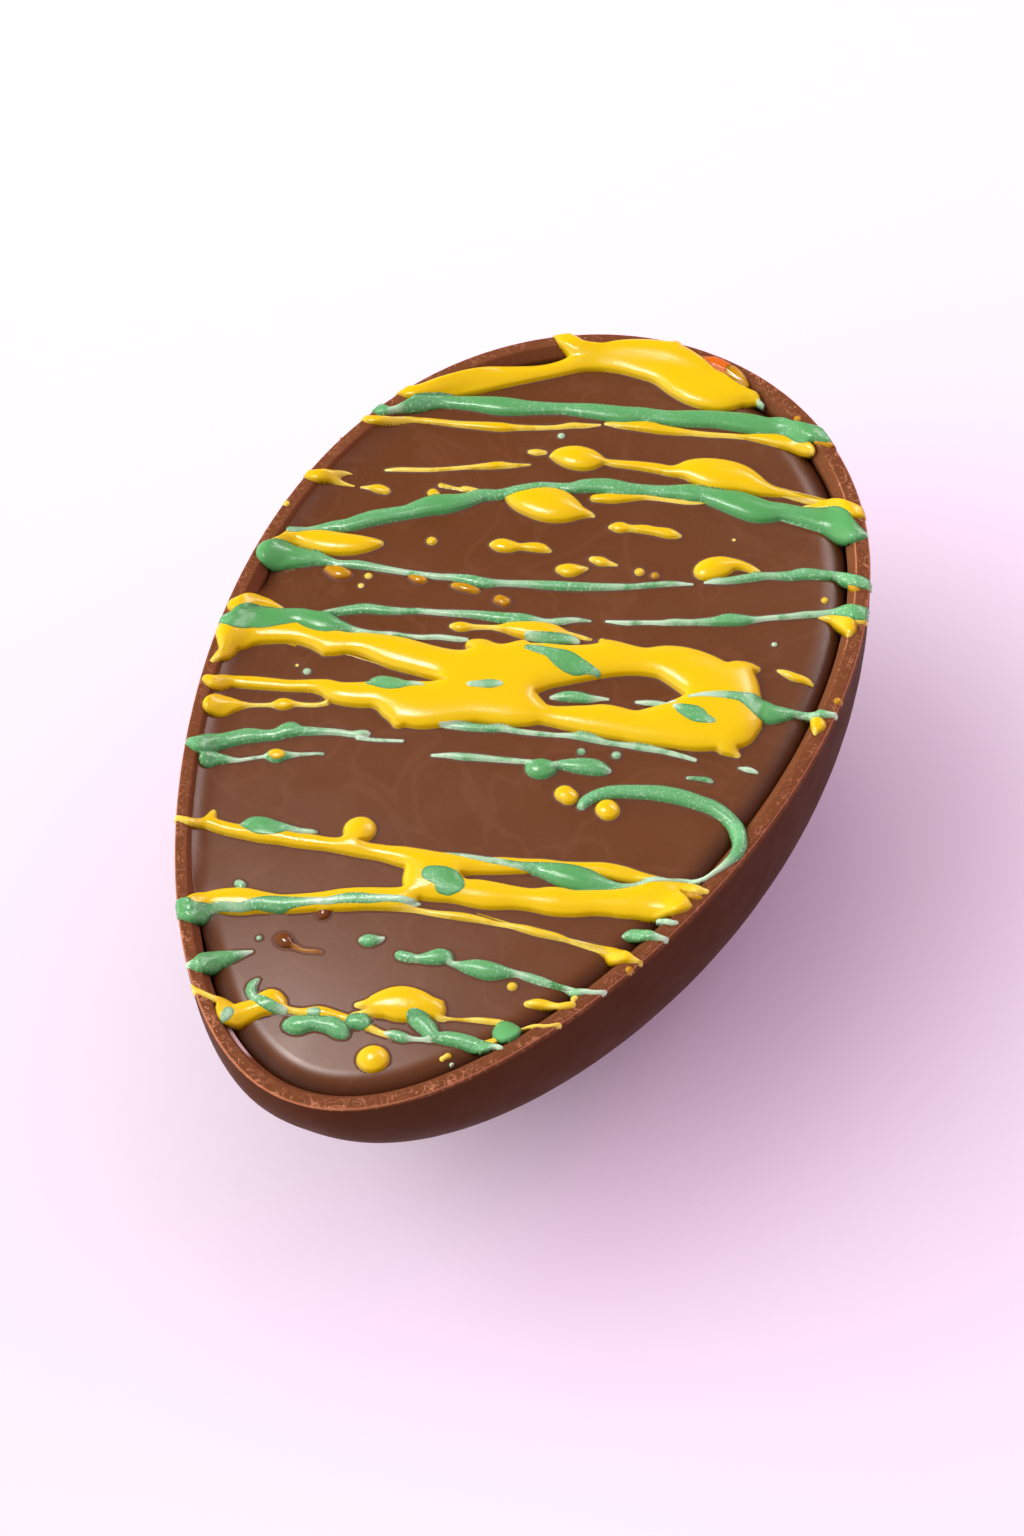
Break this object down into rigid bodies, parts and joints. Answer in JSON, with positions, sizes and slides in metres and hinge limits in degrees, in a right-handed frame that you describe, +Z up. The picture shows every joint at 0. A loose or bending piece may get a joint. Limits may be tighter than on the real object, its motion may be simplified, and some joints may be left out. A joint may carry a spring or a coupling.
{
  "type": "filled chocolate egg half",
  "caption": "Half egg of milk chocolate, flat face up, filled with a slab of chocolate and crossed by thick drizzle in two colours.",
  "frame": {"origin": "on the ground, under the middle of the bounding box", "axes": "+Y along the egg's long axis towards its blunt end, +Z up, out of the open flat face, +X across the egg"},
  "size_m": [0.0998, 0.16, 0.0559],
  "materials": {
    "shell_chocolate": "satin moulded milk chocolate",
    "filling_chocolate": "satin poured milk chocolate",
    "yellow_drizzle": "glossy coloured chocolate",
    "green_drizzle": "glossy coloured chocolate"
  },
  "bodies": {
    "root": {"shell": "shell_chocolate", "filling": "filling_chocolate"}
  },
  "joints": []
}
